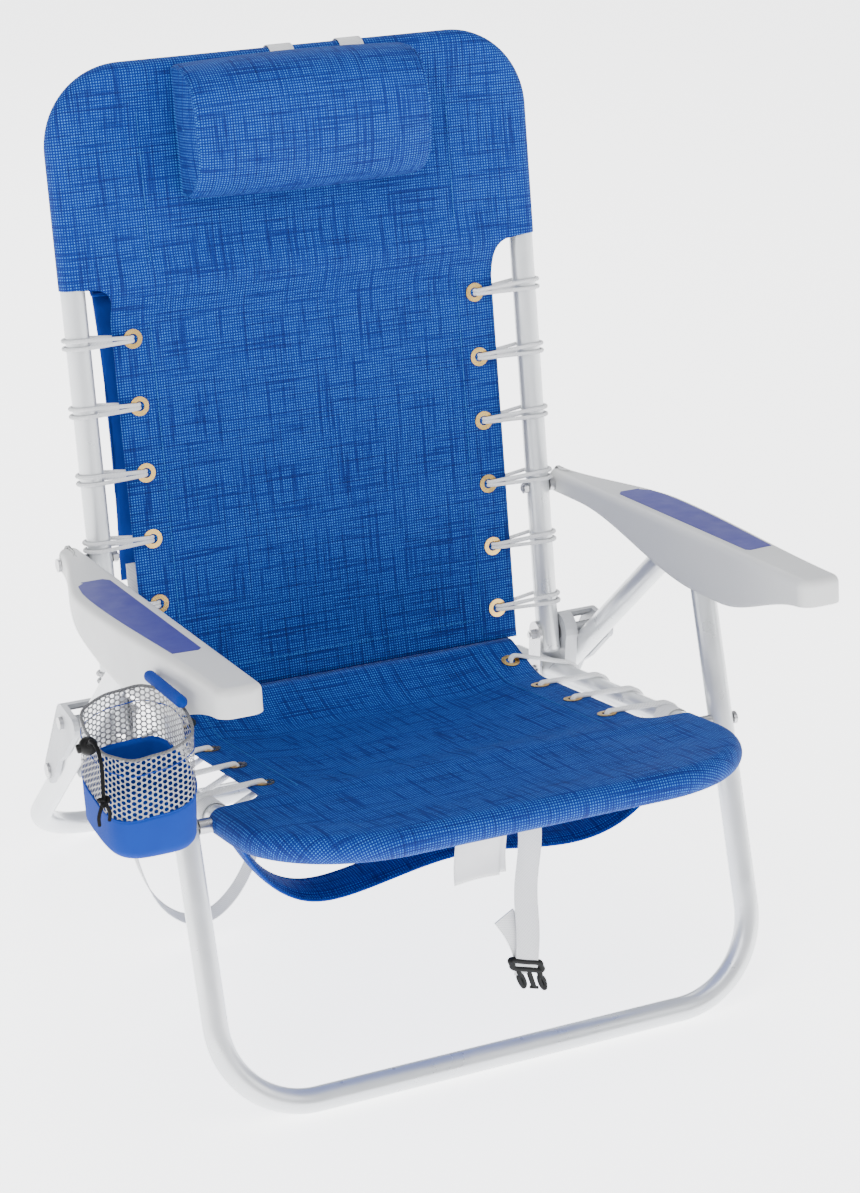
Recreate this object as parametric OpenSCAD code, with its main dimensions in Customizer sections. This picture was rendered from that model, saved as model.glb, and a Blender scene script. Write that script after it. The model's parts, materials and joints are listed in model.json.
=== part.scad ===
// Folding backpack beach chair with laced slings, hollow arms and a reclining back.
// Lengths are in millimetres. Inside the modules y = 0 and z = 0 lie on the floor under the
// back's pivot line, the sitter faces -Y and sits astride the plane x = 0.

/* [Tubes] */
// Outer diameter of every frame tube
tube_d = 25; // [23:0.5:26]
// Wall thickness of the frame tubes
tube_wall = 1.5; // [1:0.25:2.5]

/* [Seat] */
// Distance from the middle plane to the seat and back side tubes
side_x = 249; // [240:1:255]
// Rise of the seat towards the front, in degrees
seat_rise = 12; // [10:0.1:13]
// Height of the seat tube under the back's pivot line
seat_z = 208.4; // [200:0.2:215]
// Length of the seat tube in front of the pivot line
seat_len = 492; // [480:1:500]
// Bend radius of the seat tube's front corners
seat_bend = 120; // [100:1:130]

/* [Back] */
// Height of the back's pivot line above the floor
back_z = 252; // [248:0.5:256]
// Lean of the back from the vertical, in degrees
back_lean = 10.5; // [8:0.1:14]
// Height of the back's top bar along the back
back_len = 645; // [600:5:660]
// Bend radius of the back's top corners
back_bend = 70; // [60:1:80]

/* [Legs] */
// Distance from the middle plane to the front leg tubes
front_x = 287; // [286:0.5:288]
// Lean of the front legs from the vertical, in degrees
front_lean = 20.2; // [19:0.1:21]
// Distance of the front floor bar ahead of the pivot line
front_foot = 411.4; // [405:0.2:415]
// Distance from the middle plane to the rear leg tubes
rear_x = 289; // [288:0.5:290]
// Lean of the rear legs from the vertical, in degrees
rear_lean = 45.9; // [45:0.1:47]
// Distance of the rear floor bar behind the pivot line
rear_foot = 221; // [217:0.5:225]
// Bend radius of both legs' floor corners
leg_bend = 90; // [80:1:100]

/* [Arms] */
// Rise of the arms towards the front, in degrees
arm_rise = 7.5; // [6:0.1:9]
// Length of each arm in front of its bolt
arm_len = 522; // [500:1:540]
// Depth of the arm's skirt at its deepest
arm_depth = 60; // [50:1:65]
// Spacing of the four recline notches
notch_pitch = 28.3; // [26:0.1:30]

/* [Soft goods] */
// Width of the head pillow
pillow_w = 250; // [200:5:280]
// Thickness of the head pillow
pillow_t = 68; // [50:1:80]
// Height of the drink holder
holder_h = 104; // [90:1:120]
// Width of the webbing
webbing_w = 25; // [20:1:30]

/* [Hidden] */

tube_r = tube_d / 2;
pin_gap = 0.05;              // running clearance of a pivot in its bore
bolt_r = 3;
shift_x = 38.5;              // the drink holder hangs to one side, so the outline's middle is off centre
shift_y = 132.3;             // half way from the seat's front edge to the rear floor bar
lace_r = 2.2;

// places of the pivots, as [y, z]
back_pivot = [0, back_z];
front_pivot_along = 322;
front_pivot = [-front_pivot_along * cos(seat_rise), seat_z + front_pivot_along * sin(seat_rise)];
rear_pivot_rise = 158.5;
rear_pivot = [rear_foot - rear_pivot_rise * tan(rear_lean), tube_r + rear_pivot_rise];
arm_bolt_along = 164;
arm_bolt = back_pivot + arm_bolt_along * [sin(back_lean), cos(back_lean)];
front_top = 455.5;           // from the floor bar to the lock pin, along the leg
rear_top = 602.8;

// smooth rise from 0 to 1
function smooth(t) = let (c = min(1, max(0, t))) c * c * (3 - 2 * c);
// arc of n steps as points
function arc(cx, cy, r, a0, a1, n) = [for (i = [0:n]) let (a = a0 + (a1 - a0) * i / n)
    [cx + r * cos(a), cy + r * sin(a)]];

// the chair's middle goes over the origin
module place() translate([shift_x, shift_y, 0]) children();
// local y runs along a tube that leans back from the vertical, local z faces forward
module on_plane(p, lean) translate([0, p[0], p[1]]) rotate([90 - lean, 0, 0]) children();
module on_seat() on_plane([0, seat_z], seat_rise - 90) children();
module on_back() on_plane(back_pivot, back_lean) children();
module on_front_leg() on_plane([-front_foot, tube_r], front_lean) children();
module on_rear_leg() on_plane([rear_foot, tube_r], -rear_lean) children();
module on_arm() translate([0, arm_bolt[0], arm_bolt[1]]) rotate([-arm_rise, 0, 0]) children();
// a round bar across the chair at [y, z]
module across(p, x0, x1, r) translate([x0, p[0], p[1]]) rotate([0, 90, 0]) cylinder(h = x1 - x0, r = r, $fn = 48);
module both() { children(); mirror([1, 0, 0]) children(); }

// ---- frame tubes ----
module tube_ring() difference() {
    circle(r = tube_r, $fn = 48);
    circle(r = tube_r - tube_wall, $fn = 48);
}
// a tube bent into a U: a bar across and two sides that run on to y = side_len
module u_tube(half_w, bend, side_len) {
    translate([-(half_w - bend), 0, 0]) rotate([0, 90, 0]) linear_extrude(2 * (half_w - bend)) tube_ring();
    both() {
        translate([half_w - bend, bend, 0]) rotate([0, 0, -90]) rotate_extrude(angle = 90, $fn = 72)
            translate([bend, 0]) tube_ring();
        translate([half_w, bend, 0]) rotate([-90, 0, 0]) linear_extrude(side_len - bend) tube_ring();
    }
}
seat_tail = 73;              // the side tubes run on behind the pivot line
back_tail = 18;
module seat_frame() color("gainsboro") difference() {
    on_seat() translate([0, seat_len, 0]) rotate([0, 0, 180]) u_tube(side_x, seat_bend, seat_len + seat_tail);
    both() {
        across(front_pivot, side_x - 15, side_x + 15, bolt_r + pin_gap);
        across([0, seat_z], side_x - 15, side_x + 15, bolt_r + pin_gap);
        across(rear_seat_rivet, side_x + 5, side_x + 15, bolt_r + pin_gap);
    }
}
module back_frame() color("gainsboro") difference() {
    on_back() translate([0, back_len, 0]) rotate([0, 0, 180]) u_tube(side_x, back_bend, back_len + back_tail);
    both() {
        across(back_pivot, side_x - 15, side_x + 15, bolt_r + pin_gap);
        across(arm_bolt, side_x - 15, side_x + 15, bolt_r + pin_gap);
    }
}
module front_leg_frame() color("gainsboro") difference() {
    on_front_leg() u_tube(front_x, leg_bend, front_top + 12);
    both() {
        across(front_pivot, front_x - 15, front_x + 15, bolt_r + pin_gap);
        on_front_leg() across([front_top, 0], front_x - 15, front_x + 15, 4);
    }
}
module rear_leg_frame() color("gainsboro") difference() {
    on_rear_leg() u_tube(rear_x, leg_bend, rear_top + 10);
    both() {
        across(rear_pivot, rear_x - 15, rear_x + 15, 4 + pin_gap);
        on_rear_leg() across([rear_top, 0], rear_x - 15, rear_x + 15, 4);
    }
}
// a plastic plug: a cap over the tube's end and a short stem inside it
module tube_plug() rotate([-90, 0, 0]) {
    cylinder(h = 2, r = tube_r, $fn = 48);
    translate([0, 0, -4]) cylinder(h = 4.5, r = tube_r - tube_wall, $fn = 48);
}
module seat_tube_caps() color("silver") both() on_seat() translate([side_x, -seat_tail, 0])
    rotate([0, 0, 180]) tube_plug();
module back_tube_caps() color("silver") both() on_back() translate([side_x, -back_tail, 0])
    rotate([0, 0, 180]) tube_plug();
module front_leg_plugs() color("silver") both() on_front_leg() translate([front_x, front_top + 12, 0]) tube_plug();
module rear_leg_plugs() color("silver") both() on_rear_leg() translate([rear_x, rear_top + 10, 0]) tube_plug();

// ---- hinge at the back of the seat ----
plate_x = side_x - tube_r - 3.2;   // inner face of the hinge plate
plate_t = 3;
block_x = side_x + tube_r + 0.5;   // inner face of the hinge block
channel_x0 = rear_x - tube_r - 0.5;
channel_x1 = rear_x + tube_r + 0.5;
block_x1 = channel_x1 + 6;
rear_seat_rivet = [44, seat_z - 44 * tan(seat_rise)];
sleeve_r = 5.4;
module hinge_plate() color("silver") difference() {
    union() {
        across(back_pivot, plate_x, plate_x + plate_t, 14);
        across([0, seat_z], plate_x, plate_x + plate_t, 14);
        translate([plate_x, -14, seat_z]) cube([plate_t, 28, back_z - seat_z]);
    }
    across(back_pivot, plate_x - 1, plate_x + plate_t + 1, bolt_r + pin_gap);
    across([0, seat_z], plate_x - 1, plate_x + plate_t + 1, bolt_r + pin_gap);
}
// outline of the block's walls, as [y, z]: a lobe round the bolt, a nose along the leg and a tail
outer_outline = concat(arc(-32, back_z + 8, 11, 250, 100, 6), arc(0, back_z, 20, 85, 35, 4),
    arc(rear_pivot[0], rear_pivot[1], 14, 34, -110, 7), [[35, 178], [24, 196], [2, 212], [-16, 230]]);
// the inner wall has no nose, so the lowest back lace swings past it, and it covers the seat tube
inner_outline = concat(arc(0, back_z, 20, 200, 35, 8), arc(rear_pivot[0], rear_pivot[1], 14, 34, -150, 8),
    [[30, 185], [-15, 195], [-18, 225]]);
module block_wall(x0, x1, outline) translate([x0, 0, 0]) rotate([90, 0, 90]) linear_extrude(x1 - x0)
    polygon(outline);
module hinge_block() color("lightgray") difference() {
    union() {
        block_wall(block_x, channel_x0, inner_outline);
        block_wall(channel_x1, block_x1, outer_outline);
        across(back_pivot, channel_x0 - 1, channel_x1 + 1, sleeve_r);
        // saddle over the leg, joining the walls above it
        translate([channel_x0 - 1, 0, 0]) rotate([90, 0, 90]) linear_extrude(channel_x1 - channel_x0 + 2)
            polygon(concat(arc(0, back_z, 20, 95, 20, 6), arc(0, back_z, 15.5, 20, 95, 6)));
    }
    across(back_pivot, block_x - 1, block_x1 + 1, bolt_r + pin_gap);
    across(rear_pivot, block_x - 1, block_x1 + 1, 4 + pin_gap);
    across([0, seat_z], block_x - 1, channel_x0 - 1, bolt_r + pin_gap);
    across(rear_seat_rivet, block_x - 1, channel_x0 - 1, bolt_r + pin_gap);
}
module back_pivot_bolts() color("silver") both() {
    across(back_pivot, plate_x - 8, block_x1 + 1, bolt_r);
    across(back_pivot, block_x1 + 0.1, block_x1 + 4, 6.5);
}
module hex_nut(p, x0, x1, r) translate([x0, p[0], p[1]]) rotate([0, 90, 0]) difference() {
    cylinder(h = x1 - x0, r = r, $fn = 6);
    translate([0, 0, -1]) cylinder(h = x1 - x0 + 2, r = bolt_r, $fn = 48);
}
module back_pivot_nuts() color("silver") both() hex_nut(back_pivot, plate_x - 6, plate_x - 0.1, 6);
module washer(p, x0, x1, r) translate([x0, p[0], p[1]]) rotate([0, 90, 0]) difference() {
    cylinder(h = x1 - x0, r = r, $fn = 48);
    translate([0, 0, -1]) cylinder(h = x1 - x0 + 2, r = bolt_r + pin_gap, $fn = 48);
}
module back_pivot_washers() color("silver") both()
    washer(back_pivot, side_x + tube_r + 0.05, block_x - 0.05, 9);
module seat_rivets() color("silver") both() {
    across([0, seat_z], plate_x - 2.4, channel_x0 - 1.2, bolt_r);
    across([0, seat_z], plate_x - 2.4, plate_x - 0.1, 6);
    across(rear_seat_rivet, side_x + tube_r - 4, channel_x0 - 1.2, bolt_r);
}
module rear_leg_rivets() color("silver") both() {
    across(rear_pivot, block_x - 3, block_x1 + 0.5, 4);
    across(rear_pivot, block_x1 + 0.1, block_x1 + 3, 8);
    across(rear_pivot, block_x - 3, block_x - 0.1, 6.5);
}

// ---- front leg pivot ----
module front_leg_bolts() color("silver") both() {
    across(front_pivot, side_x - tube_r - 7, front_x + tube_r + 1, bolt_r);
    across(front_pivot, front_x + tube_r + 0.1, front_x + tube_r + 4, 6.5);
}
module front_leg_spacers() color("silver") both()
    washer(front_pivot, side_x + tube_r + 0.1, front_x - tube_r - 0.1, 7.5);
module front_leg_nuts() color("silver") both()
    hex_nut(front_pivot, side_x - tube_r - 5.5, side_x - tube_r - 0.2, 6);
module front_lock_pins() color("silver") both() on_front_leg() across([front_top, 0], front_x - 16, front_x + 13.5, 4);
module rear_lock_pins() color("silver") both() on_rear_leg() across([rear_top, 0], rear_x - 14.5, rear_x + 14.5, 4);

// ---- arms: u runs forward from the bolt, so local y = -u ----
arm_x0 = side_x + tube_r + 6.5;    // inner face of the arm
arm_top = 14;
arm_back = 18.5;
arm_skin = 2.6;
arm_steps = 27;
// distance of the outer edge from the middle plane
function arm_edge(u) = arm_x0 + 22 + 38 * smooth((u + arm_back) / 200) - 16 * smooth((u - 190) / 330);
// depth of the skirt under the top
function arm_skirt(u) = 22 + (arm_depth - 22) * smooth((u - 60) / 250) - 34 * smooth((u - 360) / 162);
function arm_u(i) = -arm_back + (arm_len + arm_back) * i / arm_steps;
module arm_plan(inset) polygon(concat(
    [[arm_x0 + inset, arm_back - inset], [arm_x0 + inset, -arm_len + inset]],
    [for (i = [arm_steps:-1:0]) let (u = min(arm_len - inset, max(-arm_back + inset, arm_u(i))))
        [arm_edge(arm_u(i)) - inset, -u]]));
module arm_side(inset, drop) rotate([90, 0, 90]) linear_extrude(420) polygon(concat(
    [[-arm_len + inset, arm_top - inset * 1.15], [arm_back - inset, arm_top - inset * 1.15]],
    [for (i = [0:arm_steps]) let (u = min(arm_len - inset, max(-arm_back + inset, arm_u(i))))
        [-u, arm_top - arm_skirt(arm_u(i)) - drop]]));
inlay_u0 = 124;
inlay_u1 = 397;
module inlay_plan(gap) polygon(concat(
    [[arm_x0 + 12.5 + gap, -inlay_u0 - 8], [arm_x0 + 12.5 + gap, -inlay_u1 + 4],
     [arm_x0 + 16.5, -inlay_u1 + gap]],
    [for (i = [10:-1:0]) let (u = inlay_u0 + 12 + (inlay_u1 - inlay_u0 - 14) * i / 10)
        [arm_edge(u) - 8.5 - gap, -u]],
    [[arm_edge(inlay_u0) - 14, -inlay_u0 - 3 - gap], [arm_x0 + 40, -inlay_u0 - gap],
     [arm_x0 + 18, -inlay_u0 - gap]]));
module arm() color("lightgray") difference() {
    union() {
        difference() {
            intersection() {
                arm_side(0, 0);
                translate([0, 0, -80]) linear_extrude(120) arm_plan(0);
            }
            intersection() {
                arm_side(arm_skin, 5);
                translate([0, 0, -80]) linear_extrude(120) arm_plan(arm_skin);
            }
        }
        across([0, 0], arm_x0 + 1, arm_edge(0) - 1, 8.5);
    }
    across([0, 0], arm_x0 - 5, arm_edge(0) + 5, bolt_r + pin_gap);
    translate([0, 0, arm_top - 1.2]) linear_extrude(5) inlay_plan(0);
}
module arm_inlay() color("slateblue") translate([0, 0, arm_top - 1.2]) linear_extrude(1.7) inlay_plan(0.1);
rack_w = -5.2;               // underside of the rack, just over the lock pin's path
module arm_rack() color("dimgray") difference() {
    translate([arm_x0 + arm_skin, -384, rack_w]) cube([3.3, 116, arm_top - arm_skin * 1.15 - rack_w]);
    for (i = [0:3]) across([-285 - notch_pitch * i, rack_w], arm_x0, arm_x0 + 12, 4.6);
}
module arm_bolt_part() color("silver") {
    across([0, 0], side_x - tube_r - 7, arm_edge(0) + 1, bolt_r);
    across([0, 0], arm_edge(0) + 1.2, arm_edge(0) + 4.2, 7);
    across([0, 0], side_x + tube_r + 0.15, arm_x0 - 0.15, 7);
}
module arm_nut() color("silver") hex_nut([0, 0], side_x - tube_r - 5.5, side_x - tube_r - 0.2, 6);
// left is the sitter's right hand: the side towards -X
module left() mirror([1, 0, 0]) children();

// ---- fabric ----
cloth = 1.4;
sleeve_out = tube_r + 1.7;
sleeve_in = tube_r + 0.4;
back_panel_x = 211;
back_sleeve_y = 440;
seat_panel_x = 203;
seat_sleeve_y = 334;
// a sleeve's outline: square at the mouth y0, round at the corners by y1
function sleeve_outline(half_w, y0, y1, r) = concat([[-half_w, y0], [half_w, y0]],
    arc(half_w - r, y1 - r, r, 0, 90, 10), arc(-half_w + r, y1 - r, r, 90, 180, 10));
module sleeve(y0, y1, bend) difference() {
    translate([0, 0, -sleeve_out]) linear_extrude(2 * sleeve_out)
        polygon(sleeve_outline(side_x + sleeve_out, y0, y1 + sleeve_out, bend + sleeve_out));
    translate([0, 0, -sleeve_in]) linear_extrude(2 * sleeve_in)
        polygon(sleeve_outline(side_x + sleeve_in, y0 - 5, y1 + sleeve_in, bend + sleeve_in));
}
// a panel of cloth that follows height(y), y from y0 to y1, across the chair
module panel(half_w, pts) translate([-half_w, 0, 0]) rotate([90, 0, 90]) linear_extrude(2 * half_w)
    polygon(concat(pts, [for (i = [len(pts) - 1:-1:0]) pts[i] - [0, cloth]]));
// the front cloth leaves the back's sleeve and settles between the tubes
function back_height(y) = -1.3 + (sleeve_out + 1.3) * smooth((y - 396) / (back_sleeve_y - 396));
// the seat cloth dips from the crease at the pivot line onto the seat
function seat_rear(y) = sleeve_out - 0.2 + 22 * (1 - smooth((y - 12) / 78)) * (1 - smooth((y - 12) / 160));
// it is straight where the rearmost eyelets are
facet = [32, 54];
facet_rise = (seat_rear(facet[1]) - seat_rear(facet[0])) / (facet[1] - facet[0]);
function seat_height(y) = y > facet[0] && y < facet[1] ? seat_rear(facet[0]) + (y - facet[0]) * facet_rise
    : seat_rear(y);
back_grommet_x = 191;
seat_grommet_x = 186;
grommet_hole = 6.2;
function back_grommet_y(i) = 37 + 69.2 * i;
function seat_grommet_y(i) = 38 + 77 * i + (i == 0 ? 5 : 0);
module back_fabric() color("mediumblue") on_back() difference() {
    union() {
        sleeve(back_sleeve_y, back_len, back_bend);
        panel(back_panel_x, [for (y = [6, 200, 396, 405, 414, 423, 432, back_sleeve_y + 0.5]) [y, back_height(y)]]);
    }
    for (i = [0:5], s = [-1, 1]) translate([s * back_grommet_x, back_grommet_y(i), -10])
        cylinder(h = 20, r = grommet_hole, $fn = 24);
}
module seat_fabric() color("mediumblue") on_seat() mirror([0, 0, 1]) difference() {
    union() {
        sleeve(seat_sleeve_y, seat_len, seat_bend);
        panel(seat_panel_x, [for (y = [14, 20, 26, facet[0], facet[1], 64, 76, 90, 120, 200, seat_sleeve_y + 0.5])
            [y, seat_height(y)]]);
    }
    for (i = [0:3], s = [-1, 1]) translate([s * seat_grommet_x, seat_grommet_y(i), 0])
        cylinder(h = 40, r = grommet_hole, $fn = 24);
}
// an eyelet: two flanges and a barrel
module grommet() difference() {
    union() {
        translate([0, 0, cloth / 2 + 0.05]) cylinder(h = 1, r = 10, $fn = 32);
        translate([0, 0, -cloth / 2 - 1.05]) cylinder(h = 1, r = 10, $fn = 32);
        translate([0, 0, -cloth / 2 - 1]) cylinder(h = cloth + 2, r = 5.9, $fn = 32);
    }
    translate([0, 0, -5]) cylinder(h = 10, r = 5.2, $fn = 32);
}
module back_grommets() color("goldenrod") on_back() for (i = [0:5], s = [-1, 1])
    translate([s * back_grommet_x, back_grommet_y(i), back_height(back_grommet_y(i)) - cloth / 2]) grommet();
module seat_grommets() color("goldenrod") on_seat() mirror([0, 0, 1]) for (i = [0:3], s = [-1, 1])
    translate([s * seat_grommet_x, seat_grommet_y(i), seat_height(seat_grommet_y(i)) - cloth / 2])
        rotate([i == 0 ? atan(facet_rise) : 0, 0, 0]) grommet();

// a closed loop of round lace through an eyelet at [hx, hz] and round the side tube at [tx, 0]
function lace_path(hx, hz, tx, r1) = let (r2 = tube_r + lace_r + 0.2, cx = hx + r1, d = norm([tx - cx, hz]),
    tilt = atan2(-hz, tx - cx), spread = acos((r1 - r2) / d)) concat(
    [for (i = [0:6]) let (a = tilt + spread + (360 - 2 * spread) * i / 6) [cx + r1 * cos(a), hz + r1 * sin(a)]],
    [for (i = [0:11]) let (a = tilt - spread + 2 * spread * i / 11) [tx + r2 * cos(a), r2 * sin(a)]]);
module lace_loop(hx, hz, hole_r = 4.2) {
    p = lace_path(hx, hz, side_x, hole_r);
    n = len(p);
    m = 8;
    function out(i) = let (d = p[(i + 1) % n] - p[(i + n - 1) % n]) [d[1], -d[0]] / norm(d);
    polyhedron(points = [for (i = [0:n - 1], k = [0:m - 1]) let (a = 360 * k / m, o = out(i) * lace_r * cos(a))
            [p[i][0] + o[0], lace_r * sin(a), p[i][1] + o[1]]],
        faces = [for (i = [0:n - 1], k = [0:m - 1]) let (j = (i + 1) % n, l = (k + 1) % m)
            [i * m + k, i * m + l, j * m + l, j * m + k]], convexity = 4);
}
module back_lace() color("white") on_back() for (i = [0:5])
    translate([0, back_grommet_y(i), 0])
        lace_loop(back_grommet_x, back_height(back_grommet_y(i)) - cloth / 2);
module seat_lace() color("white") on_seat() mirror([0, 0, 1]) for (i = [0:3])
    translate([0, seat_grommet_y(i), 0])
        lace_loop(seat_grommet_x, seat_height(seat_grommet_y(i)) - cloth / 2, i == 0 ? 6 : 4.2);

// ---- head pillow ----
pillow_x = -5;
pillow_y0 = 518;
pillow_y1 = 656;
pillow_z = 17;
module head_pillow() color("royalblue") on_back() translate([pillow_x - pillow_w / 2, 0, 0])
    rotate([90, 0, 90]) linear_extrude(pillow_w) polygon(concat(
        arc(pillow_y1 - 26, pillow_z + 26, 26, -80, 40, 6),
        arc((pillow_y0 + pillow_y1) / 2, pillow_z + pillow_t - 60, 60, 70, 110, 5),
        arc(pillow_y0 + 26, pillow_z + 26, 26, 140, 260, 6)));
strap_x = [-8, 68];
module pillow_straps() color("white") on_back() for (x = strap_x) translate([x - 13, 0, 0])
    rotate([90, 0, 90]) linear_extrude(26) polygon(concat(
        [[470, sleeve_out + 1.5], [back_len + sleeve_out + 1.5, sleeve_out + 1.5],
         [back_len + sleeve_out + 1.5, -sleeve_out - 1.5], [560, -sleeve_out - 1.5], [560, -sleeve_out - 0.3],
         [back_len + sleeve_out + 0.3, -sleeve_out - 0.3], [back_len + sleeve_out + 0.3, sleeve_out + 0.3],
         [470, sleeve_out + 0.3]]));

// ---- drink holder under the left arm's outer edge ----
holder_x0 = -405;
holder_x1 = -321.5;
holder_y0 = -473;
holder_y1 = -361;
holder_z = 340;
holder_corner = 38;
base_h = 44;
hanger_x = -325;
hanger_z = 452;
module holder_plan(inset) polygon(concat(
    arc(holder_x1 - 20, holder_y1 - 20, 20 - inset, 0, 90, 4),
    arc(holder_x0 + holder_corner, holder_y1 - holder_corner, holder_corner - inset, 90, 180, 6),
    arc(holder_x0 + holder_corner, holder_y0 + holder_corner, holder_corner - inset, 180, 270, 6),
    arc(holder_x1 - 20, holder_y0 + 20, 20 - inset, 270, 360, 4)));
module drink_base() color("blue") difference() {
    translate([0, 0, holder_z]) linear_extrude(base_h) holder_plan(0);
    translate([0, 0, holder_z + 1.6]) linear_extrude(base_h) holder_plan(1.6);
}
module drink_mesh() color("gray") difference() {
    translate([0, 0, holder_z + base_h + 0.1]) linear_extrude(holder_h - base_h) holder_plan(0.2);
    translate([0, 0, holder_z]) linear_extrude(holder_h + 10) holder_plan(1.6);
}
module drink_hanger() color("blue") translate([hanger_x, -336, hanger_z]) rotate([90 - arm_rise, 0, 0])
    cylinder(h = 100, r = 5.5, $fn = 32);
// the drawstring leaves the rim, runs through the cord lock, turns over and hangs to its knot
drawstring_r = 1.8;
lock_at = [-414, -436, 443];
lock_dir = [-2, -12, 9] / norm([-2, -12, 9]);
drawstring_path = concat([for (t = [-14, -7, 0, 7, 14, 21]) lock_at + t * lock_dir],
    [[-417.5, -458.5, 458], [-416, -464, 457], [-415, -469, 452], [-414.5, -472, 445], [-414, -473, 437],
     [-414, -473.5, 428], [-414, -473.5, 419], [-414, -473.5, 410]]);
// round tube swept along points
module swept(p, r, m) {
    n = len(p);
    function dir(i) = let (d = p[min(n - 1, i + 1)] - p[max(0, i - 1)]) d / norm(d);
    function side(i) = let (c = cross([1, 0, 0.3], dir(i))) c / norm(c);
    polyhedron(points = [for (i = [0:n - 1], k = [0:m - 1]) let (s = side(i), t = cross(dir(i), s))
            p[i] + r * (cos(360 * k / m) * s + sin(360 * k / m) * t)],
        faces = concat([[for (k = [m - 1:-1:0]) k]], [[for (k = [0:m - 1]) (n - 1) * m + k]],
            [for (i = [0:n - 2], k = [0:m - 1]) let (l = (k + 1) % m)
                [i * m + k, i * m + l, (i + 1) * m + l, (i + 1) * m + k]]), convexity = 4);
}
module drawstring() color("black") swept(drawstring_path, drawstring_r, 8);
module cord_lock() color("black") translate(lock_at)
    rotate([0, acos(lock_dir[2]), atan2(lock_dir[1], lock_dir[0])]) difference() {
        sphere(r = 8.5, $fn = 48);
        translate([0, 0, -10]) cylinder(h = 20, r = drawstring_r + 0.3, $fn = 24);
    }

// ---- storage pouch and webbing behind the back ----
module storage_pouch() color("navy") on_back() difference() {
    translate([-221, 130, -48]) cube([442, 300, 30]);
    translate([-219, 132, -46]) cube([438, 310, 26]);
}
module pouch_webbing() color("white") on_back() for (s = [-1, 1])
    translate([s * 214 - webbing_w / 2, 22, -16]) cube([webbing_w, 104, 1.2]);

// ---- shoulder strap slung under the seat, and its webbing ----
strap_y = -318;
strap_w = 46;
strap_t = 8;
// height of the strap's middle line over the floor at x
function strap_z(x) = 181 + 7 * cos(x * 1.4) - 9 * exp(-pow((x + 175) / 60, 2)) + 72 * pow(abs(x) / 238, 7);
strap_steps = 34;
function strap_line(i) = let (x = -235 + 470 * i / strap_steps) [x, strap_z(x)];
module shoulder_strap() color("blue") translate([0, strap_y + strap_w, 0]) rotate([90, 0, 0])
    linear_extrude(strap_w) polygon(concat([for (i = [0:strap_steps]) strap_line(i) - [0, strap_t / 2]],
        [for (i = [strap_steps:-1:0]) strap_line(i) + [0, strap_t / 2]]));
// webbing slings that hold the strap's ends to the side tubes
module strap_anchors() color("white") both() on_seat() translate([side_x, 300, 0]) rotate([90, 0, 0])
    linear_extrude(webbing_w) difference() {
        circle(r = tube_r + 1.6, $fn = 32);
        circle(r = tube_r + 0.3, $fn = 32);
    }
// slack adjusting webbing that hangs from the left seat tube behind the strap
loop_path = [[-252, -20, 190], [-254, -30, 150], [-252, -42, 115], [-244, -50, 82], [-232, -55, 55],
    [-215, -58, 36], [-195, -60, 26], [-172, -62, 30], [-150, -62, 48], [-132, -60, 74], [-120, -56, 102]];
module strap_loop() color("white") for (i = [0:len(loop_path) - 2]) hull() for (k = [0, 1])
    translate(loop_path[i + k]) rotate([0, 90, 0]) cylinder(h = 1.6, r = 9, center = true, $fn = 16);
buckle_x = 29;
buckle_y = -400;
buckle_top = 278;
buckle_z = 97;
module buckle_webbing() color("white") {
    translate([buckle_x - webbing_w / 2, buckle_y - 0.7, buckle_z]) cube([webbing_w, 1.4, buckle_top - buckle_z]);
    translate([buckle_x - webbing_w / 2 + 1, buckle_y + 1.5, buckle_z + 10])
        rotate([0, -24, 0]) cube([webbing_w - 2, 1.4, 54]);
}
module buckle_male() color("black") translate([buckle_x, buckle_y, 0]) difference() {
    union() {
        translate([-17, -4.5, buckle_z - 9]) cube([34, 9, 17]);
        for (s = [-1, 1]) translate([s * 12 - 3, -3.5, buckle_z - 32]) cube([6, 7, 24]);
        translate([-2, -3, buckle_z - 29]) cube([4, 6, 21]);
    }
    translate([-webbing_w / 2 - 0.3, -1.2, buckle_z - 4]) cube([webbing_w + 0.6, 2.6, 20]);
}
module care_labels() color("white") for (k = [0, 1]) translate([-68 + 7 * k, -440 + 4 * k, 229 + 2 * k])
    cube([48, 0.6, 54]);

place() seat_frame();
place() back_frame();
place() front_leg_frame();
place() rear_leg_frame();
place() seat_tube_caps();
place() back_tube_caps();
place() front_leg_plugs();
place() rear_leg_plugs();
place() left() hinge_plate();  // hinge_plate_left
place() hinge_plate();  // hinge_plate_right
place() left() hinge_block();  // hinge_block_left
place() hinge_block();  // hinge_block_right
place() back_pivot_bolts();
place() back_pivot_nuts();
place() back_pivot_washers();
place() seat_rivets();
place() rear_leg_rivets();
place() front_leg_bolts();
place() front_leg_spacers();
place() front_leg_nuts();
place() front_lock_pins();
place() rear_lock_pins();
place() left() on_arm() arm();  // arm_left
place() on_arm() arm();  // arm_right
place() left() on_arm() arm_inlay();  // arm_inlay_left
place() on_arm() arm_inlay();  // arm_inlay_right
place() left() on_arm() arm_rack();  // arm_rack_left
place() on_arm() arm_rack();  // arm_rack_right
place() left() on_arm() arm_bolt_part();  // arm_bolt_left
place() on_arm() arm_bolt_part();  // arm_bolt_right
place() left() on_arm() arm_nut();  // arm_nut_left
place() on_arm() arm_nut();  // arm_nut_right
place() back_fabric();
place() seat_fabric();
place() back_grommets();
place() seat_grommets();
place() left() back_lace();  // back_lace_left
place() back_lace();  // back_lace_right
place() left() seat_lace();  // seat_lace_left
place() seat_lace();  // seat_lace_right
place() head_pillow();
place() pillow_straps();
place() drink_base();
place() drink_mesh();
place() drink_hanger();
place() drawstring();
place() cord_lock();
place() storage_pouch();
place() pouch_webbing();
place() shoulder_strap();
place() strap_anchors();
place() strap_loop();
place() buckle_webbing();
place() buckle_male();
place() care_labels();
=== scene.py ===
import json
import math

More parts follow.
